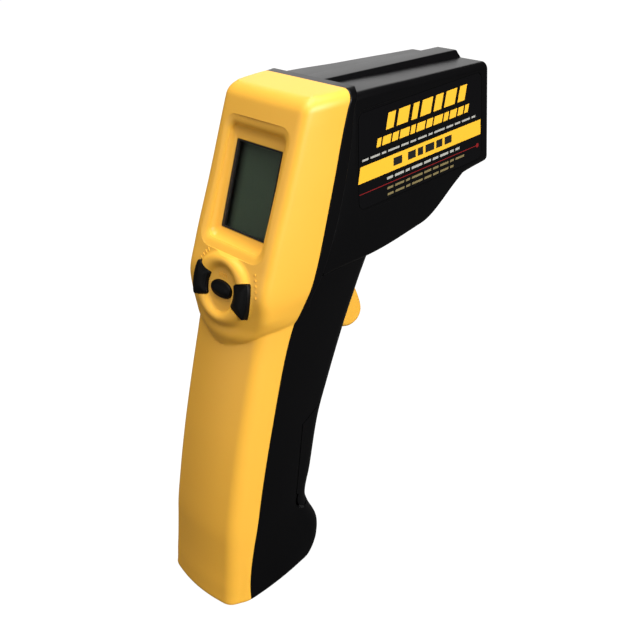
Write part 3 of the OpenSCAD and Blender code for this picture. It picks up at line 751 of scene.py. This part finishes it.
def grown(points, d):
    """A convex or nearly convex outline with straight sides moved outwards."""
    p = np.asarray(points, float)
    area = 0.5*np.sum(p[:, 0]*np.roll(p[:, 1], -1) - np.roll(p[:, 0], -1)*p[:, 1])
    if area < 0:
        p = p[::-1]
    out = []
    for k in range(len(p)):
        a, b, c = p[k - 1], p[k], p[(k + 1) % len(p)]
        n1 = np.array([(b - a)[1], -(b - a)[0]])/np.linalg.norm(b - a)
        n2 = np.array([(c - b)[1], -(c - b)[0]])/np.linalg.norm(c - b)
        m = n1 + n2
        out.append(b + d*m/(m @ n1) if abs(m @ n1) > 1e-6 else b + d*n1)
    return out


class ThermometerSizes(bpy.types.PropertyGroup):
    cover_colour: FloatVectorProperty(name="Cover colour",
        description="Base colour of the yellow cover",
        subtype="COLOR", size=3, min=0, max=1, default=(0.9, 0.475, 0.052))
    body_colour: FloatVectorProperty(name="Body colour",
        description="Base colour of the black body",
        subtype="COLOR", size=3, min=0, max=1, default=(0.0016, 0.0016, 0.002))
    edge: FloatProperty(name="Edge rounding", description="Rounding of small moulded edges",
        default=0.0004, min=0.0001, max=0.001, unit="LENGTH")
    light: FloatProperty(name="Light strength", description="Strength of all studio lights",
        default=1.0, min=0.1, max=4)


class THERMO_OT_cover(bpy.types.Operator):
    """Rear cover with the display surround, the key ring and the board posts"""
    bl_idname = "thermo.cover"
    bl_label = "Rear cover"

    def execute(self, context):
        cover = cover_solid()
        finish = yellow()
        cavity = hollow(True, WALL, 197.6)
        keys, screen = tilted(KEYS), tilted(SCREEN)
        pads = [prism("pad", [(-22, -25), (22, -25), (22, 25), (-22, 25)], -2, 6, screen, finish),
            prism("pad", arc(0, 0, 19.8, 0, 354, 59), -2.6, 4, keys, finish)]
        for x, y in ((-15, 27), (15, 27), (-12, -48), (12, -48)):
            pads.append(prism("post", arc(x, y, 3.2, 0, 350, 35), -8, 4, screen, finish))
        combine(cavity, pads)
        skin = np.array([v.co[:] for v in cover.data.vertices])/MM
        y0, z0, t = KEYS
        flat = np.column_stack([skin[:, 0],
            (skin[:, 1] - y0)*math.sin(t) + (skin[:, 2] - z0)*math.cos(t),
            (skin[:, 2] - z0)*math.sin(t) - (skin[:, 1] - y0)*math.cos(t)])
        flat = flat[flat[:, 2] > -9]
        combine(cover, [cavity])
        combine(cover, [screen_cutter(finish)])
        ticks = [(x, 5.5, 0.42, 1.5, 0) for x in (-2.6, -1.2, 0.2, 1.6)]
        ticks += [(18*math.cos(math.radians(a)), 17*math.sin(math.radians(a)), 0.4, 1.5, a - 90)
            for a in (133, 139, 145, 151)]
        ticks += [(20.3*math.cos(math.radians(a)), 20.3*math.sin(math.radians(a)), 0.7, 0.7, a)
            for a in (7, 13, 19, 25, 31)]
        marks = []
        for u, v, wide, tall, turn in ticks:
            near = flat[np.argmin(np.hypot(flat[:, 0] - u, flat[:, 1] - v))][2]
            c, d = math.cos(math.radians(turn)), math.sin(math.radians(turn))
            corners = [(u + a*c - b*d, v + a*d + b*c)
                for a, b in ((-wide/2, -tall/2), (wide/2, -tall/2),
                    (wide/2, tall/2), (-wide/2, tall/2))]
            marks.append(prism("mark", corners, near - 1.2, near + 0.22, keys, finish))
        combine(cover, marks, "UNION")
        cuts = [prism("seat", [(-15.5, -19.05), (15.5, -19.05), (15.5, 19.05), (-15.5, 19.05)],
            -3, -1.2, screen, finish)]
        for side in (-1, 1):
            cuts.append(prism("key_hole", curved_key(side, 0.22), -12, 9, keys, finish))
            cuts.append(prism("key_room", curved_key(side, 1.3), -12, -2.6, keys, finish))
        cuts.append(prism("key_hole", middle_key(0.22), -12, 9, keys, finish))
        cuts.append(prism("key_room", middle_key(1), -12, -2.6, keys, finish))
        combine(cover, cuts)
        settle(cover, "housing", "rear_cover", "rear_cover")
        return {"FINISHED"}


class THERMO_OT_body(bpy.types.Operator):
    """Black body halves and the battery door"""
    bl_idname = "thermo.body"
    bl_label = "Body halves and door"

    def execute(self, context):
        finish = black()
        front = black_front()
        door = front.copy()
        door.data = front.data.copy()
        door.name = "battery_door_look"
        context.scene.collection.objects.link(door)
        combine(front, [rim_solid(), barrel(0, 36, NOSE_Y, 0.9), ridge()], "UNION")
        behind = [(-60, 210), (-60, -2)] + [(line_y(PARTING, z), z) for z in
            [-1.5, 0] + list(np.arange(3, 200, 3.0)) + [200.4]] + [(56, 210)]
        combine(front, [prism("behind", behind, -60, 60, sideways, finish)])
        combine(front, [hollow(False, WALL, 131), barrel(WALL, 40, 129.8, 0)])
        parts = [box(-30, 30, 30, 31.6, 90, 120, finish)]
        for side in (-1, 1):
            x0, x1 = sorted((side*7.6, side*24.5))
            parts.append(rod(*TRIGGER_PIVOT, 4, x0, x1, finish))
        shape = hollow(False, WALL - 0.4, 131.4, "inside")
        for part in parts:
            combine(part, [shape], "INTERSECT", keep=True)
        bpy.data.objects.remove(shape)
        combine(front, parts, "UNION")
        cuts = [door_prism(0.4, 1.1, 60, finish),
            forward_rod(126, 136, OPTIC_Z, 12.5, 12.5, finish),
            box(-20.3, 20.3, 129.7, 136, 152, 190.2, finish),
            box(-7.5, 7.5, 36, 96, 93, 126.6, finish),
            rod(*TRIGGER_PIVOT, 1.54, -14.2, 14.2, finish),
            prism("socket", arc(0, 0, 9/math.sqrt(3), 0, 300, 5), -1, 9.5,
                lambda u, v, w: (u, v, w), finish)]
        for y, z, half in ((100, 147.3, 17), (65, 185, 20), (19, 97, 16), (18.5, 10, 15)):
            cuts.append(rod(y, z, 2.9, -60, -half + 2.2, finish))
        combine(front, cuts)
        for side in (-1, 1):
            cut = loft("label_cut",
                [np.array([label_spot(side, y, z, d) for y, z in label_edge(0.12 + out)])
                for d, out in ((-0.36, 0), (-0.16, 0), (-0.09, 0.25), (0.0, 0.8), (3, 3))], finish)
            combine(front, [cut])
        for side, name in ((1, "right"), (-1, "left")):
            half = front.copy()
            half.data = front.data.copy()
            half.name = f"body_{name}_look"
            context.scene.collection.objects.link(half)
            x0, x1 = sorted((side*0.01, side*80))
            combine(half, [box(x0, x1, -80, 200, -5, 230, finish)], "INTERSECT")
            settle(half, "housing", f"body_{name}", f"body_{name}")
        bpy.data.objects.remove(front)
        combine(door, [door_prism(0, 0, 60, finish)], "INTERSECT")
        room = hollow(False, 20, 90)
        knuckles = []
        for side in (-1, 1):
            x0, x1 = sorted((side*15.45, side*19))
            knuckles.append(rod(*HINGE, 2.4, x0, x1, finish))
        combine(room, knuckles)
        combine(door, [room, rod(*HINGE, 2.8, -15.45, 15.45, finish),
            box(-15.45, 15.45, 0, 21.5, 23, 63, finish),
            box(-15.45, 15.45, 21.4, 41.5, 21, 31.1, finish),
            rod(*HINGE, 1.06, -18, -14.4, finish), rod(*HINGE, 1.06, 14.4, 18, finish)])
        settle(door, "door", "battery_door", "battery_door")
        return {"FINISHED"}


class THERMO_OT_keys(bpy.types.Operator):
    """Two curved keys and the small key between them"""
    bl_idname = "thermo.keys"
    bl_label = "Keys"

    def execute(self, context):
        place = tilted(KEYS)
        finish = rubber()

        def key(name, outline, top, crown, reach, stem):
            rings = [np.array([place(u, v, w) for u, v in outline(0.8)]) for w in (-4.1, -2.95)]
            rings.append(np.array([place(u, v, -2.9) for u, v in outline(0)]))
            for a in np.radians(np.linspace(0, 90, 7)):
                rings.append(np.array([place(u, v, top - 0.7 + 0.7*math.sin(a))
                    for u, v in outline(-0.7*(1 - math.cos(a)))]))
            for t in np.linspace(0.12, 1, 9):
                rings.append(np.array([place(u, v, top + crown*(1 - (1 - t)**2))
                    for u, v in outline(-0.7 - (reach - 0.7)*t)]))
            made = loft(name, rings, finish)
            x, half_x, half_y = stem
            outline = [(x - half_x, -half_y), (x + half_x, -half_y), (x + half_x, half_y),
                (x - half_x, half_y)]
            return combine(made, [prism("stem", outline, -8.4, -4, place, finish)], "UNION")

        for side, name in ((1, "right"), (-1, "left")):
            made = key(f"key_{name}_look", lambda grow, s=side: curved_key(s, grow), 1.0, 0.7, 4.0,
                (side*13, 2, 3))
            settle(made, f"{name}_key", f"key_{name}", f"key_{name}")
        made = key("key_centre_look", middle_key, 0.55, 0.5, 2.8, (0, 2, 2))
        settle(made, "centre_key", "key_centre", "key_centre")
        return {"FINISHED"}


class THERMO_OT_trigger(bpy.types.Operator):
    """Trigger with rounded finger faces"""
    bl_idname = "thermo.trigger"
    bl_label = "Trigger"

    def execute(self, context):
        finish = yellow()
        closed = TRIGGER_SIDE + [TRIGGER_SIDE[0]]
        p = resampled(closed, count=161)[:-1]
        for _ in range(14):
            p = 0.5*p + 0.25*(np.roll(p, 1, 0) + np.roll(p, -1, 0))
        p = p + np.array(TRIGGER_PIVOT)
        t = np.roll(p, -1, 0) - np.roll(p, 1, 0)
        n = np.stack([t[:, 1], -t[:, 0]], 1)/np.linalg.norm(t, axis=1)[:, None]
        centre = p.mean(0)
        if np.sum((p - centre)*n) > 0:
            n = -n
        rings = []
        r = 2.8
        for a in np.linspace(-90, 90, 37):
            x = math.copysign(7 - r + r*abs(math.sin(math.radians(a))), a) if abs(a) > 0 else 0
            d = r*(1 - math.cos(math.radians(a)))
            rings.append(np.array([(x, *q) for q in p + n*d*0.8]))
        rings = [rings[k] for k in range(len(rings)) if k != 18]
        made = loft("trigger_look", rings, finish)
        combine(made, [rod(*TRIGGER_PIVOT, 4, -7, 7, finish)], "UNION")
        combine(made, [rod(*TRIGGER_PIVOT, 1.56, -12, 12, finish)])
        settle(made, "trigger_lever", "trigger", "trigger")
        return {"FINISHED"}


class THERMO_OT_spring(bpy.types.Operator):
    """Return spring behind the trigger"""
    bl_idname = "thermo.spring"
    bl_label = "Trigger spring"

    def execute(self, context):
        back, reach, radius, wire, turns, z0 = 31.95, 11.3, 2.6, 0.35, 5, 105.5
        rings = []
        steps = turns*28
        for k in range(steps + 1):
            a = 2*math.pi*turns*k/steps
            out = np.array([math.cos(a), 0, math.sin(a)])
            middle = np.array([0, back + reach*k/steps, z0]) + radius*out
            run = np.array([-math.sin(a)*radius*2*math.pi*turns, reach,
                math.cos(a)*radius*2*math.pi*turns])
            side = np.cross(run/np.linalg.norm(run), out)
            rings.append(np.array([middle + wire*(math.cos(b)*out + math.sin(b)*side)
                for b in np.linspace(0, 2*math.pi, 9)[:-1]]))
        made = loft("trigger_spring_look", rings, steel())
        settle(made, "housing", "trigger_spring", "trigger_spring")
        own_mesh(made)
        return {"FINISHED"}


class THERMO_OT_nose(bpy.types.Operator):
    """Front plate round the sensor and the laser"""
    bl_idname = "thermo.nose"
    bl_label = "Nose plate"

    def execute(self, context):
        finish = black()
        outline = (arc(18.3, 188.4, 1.6, 0, 90, 6) + arc(-18.3, 188.4, 1.6, 90, 180, 6)
            + arc(-18.3, 154, 1.6, 180, 270, 6) + arc(18.3, 154, 1.6, 270, 360, 6))
        made = prism("nose_bezel_look", outline, BEZEL_Y, BEZEL_Y + 2.8, upright, finish)
        combine(made, [forward_rod(BEZEL_Y - 0.1, BEZEL_Y + 2.9, OPTIC_Z, 9.6, 11.6, finish),
            forward_rod(BEZEL_Y - 1, BEZEL_Y + 9, LASER_Z, 2.4, 2.4, finish),
            forward_rod(BEZEL_Y - 1, BEZEL_Y + 1.6, LASER_Z, 3.1, 3.1, finish)])
        apply_modifier(made, "BEVEL", width=settings().edge, segments=3, limit_method="ANGLE",
            angle_limit=math.radians(40))
        settle(made, "housing", "nose_bezel", "nose_bezel")
        return {"FINISHED"}


class THERMO_OT_display(bpy.types.Operator):
    """Clear window with its dark border, widened on the left as painted shade, over the display
    panel
    """
    bl_idname = "thermo.display"
    bl_label = "Display"

    def execute(self, context):
        place = tilted(SCREEN)
        clear = clear_finish("Clear window", (0.93, 0.96, 0.94))
        dark = finish_of("Dark window border and painted shade", (0.008, 0.008, 0.008), 0.5)

        def rect(hw, hh):
            return [(-hw, -hh), (hw, -hh), (hw, hh), (-hw, hh)]

        pane = prism("display_window_look", rect(15.2, 18.75), -2.9, -1.4, place, clear)
        border = prism("border", rect(13.6, 17.15), -1.38, -0.5, place, dark)
        # The dark border is 0.4 to 0.55 mm on three sides and 1.4 mm on the left: the extra width
        # is painted shade standing in for the deep wall beside the display.
        opening = [(-12.2, -16.6), (13.2, -16.6), (13.2, 16.7), (-12.2, 16.7)]
        combine(border, [prism("inside", opening, -3, 3, place, dark)])
        only(pane)
        border.select_set(True)
        bpy.ops.object.join()
        settle(pane, "housing", "display_window", "display_window")
        return {"FINISHED"}


class THERMO_OT_labels(bpy.types.Operator):
    """Labels with plain bars in place of any lettering"""
    bl_idname = "thermo.labels"
    bl_label = "Labels"

    def execute(self, context):
        base = finish_of("Label film", (0.002, 0.002, 0.0026), 0.26, 0.04, bump=0.004, specular=0.3)
        inks = {
            "yellow": finish_of("Yellow print", (0.9, 0.5, 0.03), 0.4, 0.02, bump=0.003),
            "pale": finish_of("Pale print", (0.4, 0.4, 0.37), 0.4, 0.02, bump=0.003),
            "red": finish_of("Red print", (0.22, 0.008, 0.01), 0.4, 0.02, bump=0.003),
            "gold": finish_of("Dull gold print", (0.2, 0.16, 0.07), 0.4, 0.02, bump=0.003),
            "dark": finish_of("Dark print", (0.01, 0.01, 0.01), 0.4, 0.02, bump=0.003),
        }
        outline = label_edge(-0.12)
        bars = []

        def bar(y0, y1, z0, z1, ink, slant=0.0, step=0.012):
            lean = slant*(z1 - z0)
            bars.append(([(y0, z0), (y1, z0), (y1 + lean, z1), (y0 + lean, z1)], ink, step))

        bars.append(([(56.2, 163.3), (129.9, 163.3), (129.9, 169.7), (57.9, 169.7)], "yellow",
            0.012))
        for y, w in ((72.6, 4.2), (78.6, 6.4), (87.0, 3.4), (92.2, 6.2), (100.2, 4.6),
                (106.6, 6.6), (115.0, 4.4)):
            bar(y, y + w, 180.4, 186.6, "yellow", 0.3)
        y = 67.0
        for w in (2.2, 4.6, 3.4, 5.4, 2.6, 4.8, 3.6, 5.2, 2.8, 4.2, 3.4, 2.4):
            bar(y, y + w, 174.9, 178.2, "yellow", 0.3)
            y += w + 0.9
        for y0, y1, z, tall, ink in ((59.0, 127.0, 171.5, 0.8, "pale"),
                (72.0, 116.0, 160.6, 1.0, "pale"),
                (72.0, 119.0, 156.6, 0.9, "gold"), (72.0, 112.0, 154.1, 0.9, "gold")):
            y, k = y0, 0
            while y < y1 - 2:
                w = min((3.4, 5.2, 2.4, 6.4, 4.2)[k % 5], y1 - y)
                bar(y, y + w, z, z + tall, ink, 0.2)
                y += w + 1.1
                k += 1
        for y, w in ((76.0, 5.0), (84.4, 4.6), (90.2, 3.2), (94.8, 5.4), (101.4, 3.8),
                (106.6, 4.4)):
            bar(y, y + w, 165.0, 168.2, "dark", 0.05, 0.02)
        bar(56.6, 128.0, 158.8, 159.1, "red")
        for side, name in ((1, "right"), (-1, "left")):
            made = loft(f"label_{name}_look",
                [np.array([label_spot(side, y, z, d) for y, z in outline]) for d in (-0.35, -0.13)],
                base)
            only(made)
            for shape, ink, step in bars:
                if side < 0:
                    shape = [(188 - y, z) for y, z in shape]
                piece = loft("print", [np.array([label_spot(side, y, z, d) for y, z in shape])
                    for d in (-0.14, step - 0.13)], inks[ink])
                piece.select_set(True)
            dot_y = 127.8 if side > 0 else 60.2
            dot = loft("print", [np.array([label_spot(side, y, z, d) for y, z in
                arc(dot_y, 158.95, 0.9, 0, 345, 23)]) for d in (-0.14, -0.11)], inks["red"])
            dot.select_set(True)
            bpy.context.view_layer.objects.active = made
            bpy.ops.object.join()
            settle(made, "housing", f"label_{name}", f"label_{name}")
        return {"FINISHED"}


class THERMO_OT_finishes(bpy.types.Operator):
    """Finishes for the pieces that keep their frame meshes"""
    bl_idname = "thermo.finishes"
    bl_label = "Inner finishes"

    def execute(self, context):
        plans = {
            "lcd_panel": panel_finish(),
            "lcd_frame": finish_of("White frame plastic", (0.75, 0.75, 0.72), 0.5),
            "main_board": finish_of("Green board", (0.02, 0.16, 0.06), 0.35),
            "sensor_board": finish_of("Green board", (0.02, 0.16, 0.06), 0.35),
            "key_mat": finish_of("Grey rubber", (0.28, 0.28, 0.29), 0.6),
            "battery": finish_of("Battery jacket", (0.05, 0.055, 0.065), 0.35),
            "sensor_ribbon": finish_of("Pale ribbon", (0.6, 0.6, 0.56), 0.5),
            "ir_lens": clear_finish("Lens", (0.8, 0.84, 0.78), 0.08),
            "laser_window": clear_finish("Laser window", (0.8, 0.88, 0.92)),
            "battery_lead_plus": finish_of("Red wire jacket", (0.45, 0.01, 0.01), 0.4),
            "laser_lead": finish_of("Red wire jacket", (0.45, 0.01, 0.01), 0.4),
            "laser_module": brass(),
            "tripod_insert": brass(),
        }
        for name in ("hinge_pin_right", "hinge_pin_left", "trigger_pin", "trigger_spring",
                "thermopile", "screw_nose", "screw_head", "screw_grip", "screw_foot",
                "board_screw_1", "board_screw_2", "board_screw_3", "board_screw_4"):
            plans[name] = steel()
        for name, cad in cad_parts.items():
            chosen = plans.get(name) or finish_of("Dark inner plastic", (0.02, 0.02, 0.022), 0.45)
            for k in range(max(1, len(cad.data.materials))):
                if k < len(cad.data.materials):
                    cad.data.materials[k] = chosen
                else:
                    cad.data.materials.append(chosen)
        return {"FINISHED"}


class THERMO_OT_studio(bpy.types.Operator):
    """Pale floor, soft lights and the camera"""
    bl_idname = "thermo.studio"
    bl_label = "Studio"

    def execute(self, context):
        scene = context.scene
        power = settings().light
        bpy.ops.object.select_all(action="DESELECT")
        bpy.ops.mesh.primitive_plane_add(size=14, location=(0, 0, -0.0002))
        floor = context.active_object
        floor.name = "studio_floor"
        floor.data.materials.append(paper())
        world = bpy.data.worlds.new("Studio")
        world.use_nodes = True
        world.node_tree.nodes["Background"].inputs["Color"].default_value = (1, 0.9, 0.76, 1)
        sky = world.node_tree
        path = node_of(sky, "ShaderNodeLightPath")
        dim = node_of(sky, "ShaderNodeMapRange")
        dim.inputs["To Min"].default_value = 0.4*power
        dim.inputs["To Max"].default_value = 0.03*power
        seen = node_of(sky, "ShaderNodeMixShader")
        white = node_of(sky, "ShaderNodeBackground")
        sky.links.new(path.outputs["Is Camera Ray"], seen.inputs[0])
        sky.links.new(sky.nodes["Background"].outputs[0], seen.inputs[1])
        sky.links.new(white.outputs[0], seen.inputs[2])
        sky.links.new(seen.outputs[0], sky.nodes["World Output"].inputs["Surface"])
        sky.links.new(path.outputs["Is Glossy Ray"], dim.inputs["Value"])
        sky.links.new(dim.outputs["Result"], sky.nodes["Background"].inputs["Strength"])
        scene.world = world
        scene.view_settings.view_transform = "Standard"
        for name, spot, size, watts in (
                ("key_light", (1.15, 0.1, 0.7), 0.6, 19),
                ("top_light", (0.0, 0.1, 1.3), 0.8, 14),
                ("back_light", (-0.95, 0.85, 0.62), 0.9, 2.6),
                ("fill_light", (-0.6, -1.2, 0.35), 0.9, 2.4)):
            lamp = bpy.data.lights.new(name, "AREA")
            lamp.size = size
            lamp.energy = watts*power
            made = bpy.data.objects.new(name, lamp)
            made.location = spot
            aim = Vector((0, 0.04, 0.11)) - Vector(spot)
            made.rotation_euler = aim.to_track_quat("-Z", "Y").to_euler()
            scene.collection.objects.link(made)
        lens = bpy.data.cameras.new("camera")
        lens.lens = 55.9
        lens.sensor_width = 36
        camera = bpy.data.objects.new("camera", lens)
        a, e, r = (math.radians(v) for v in (51.14, 27.97, -4.70))
        back = Vector((math.sin(a)*math.cos(e), -math.cos(a)*math.cos(e), math.sin(e)))
        right = Vector((math.cos(a), math.sin(a), 0))
        up = back.cross(right)
        across = right*math.cos(r) + up*math.sin(r)
        upward = up*math.cos(r) - right*math.sin(r)
        turn = Matrix((across, upward, back)).transposed().to_4x4()
        camera.matrix_world = Matrix.Translation((0.29060, -0.18064, 0.29545)) @ turn
        scene.collection.objects.link(camera)
        scene.camera = camera
        return {"FINISHED"}


class THERMO_PT_panel(bpy.types.Panel):
    bl_label = "Thermometer"
    bl_idname = "THERMO_PT_panel"
    bl_space_type = "VIEW_3D"
    bl_region_type = "UI"
    bl_category = "Thermometer"

    def draw(self, context):
        for key in ("cover_colour", "body_colour", "edge", "light"):
            self.layout.prop(context.scene.thermometer, key)
        for step in STEPS:
            self.layout.operator(step.bl_idname)


STEPS = (THERMO_OT_cover, THERMO_OT_body, THERMO_OT_keys, THERMO_OT_trigger,
    THERMO_OT_spring, THERMO_OT_nose, THERMO_OT_display, THERMO_OT_labels,
    THERMO_OT_finishes, THERMO_OT_studio)
CLASSES = (ThermometerSizes, *STEPS, THERMO_PT_panel)


def register():
    for item in CLASSES:
        bpy.utils.register_class(item)
    bpy.types.Scene.thermometer = PointerProperty(type=ThermometerSizes)


def unregister():
    del bpy.types.Scene.thermometer
    for item in reversed(CLASSES):
        bpy.utils.unregister_class(item)


def main():
    register()
    bpy.ops.thermo.finishes()
    bpy.ops.thermo.cover()
    bpy.ops.thermo.body()
    bpy.ops.thermo.keys()
    bpy.ops.thermo.trigger()
    bpy.ops.thermo.spring()
    bpy.ops.thermo.nose()
    bpy.ops.thermo.display()
    bpy.ops.thermo.labels()
    bpy.ops.thermo.studio()
    bpy.context.view_layer.update()


if __name__ == "__main__":
    main()
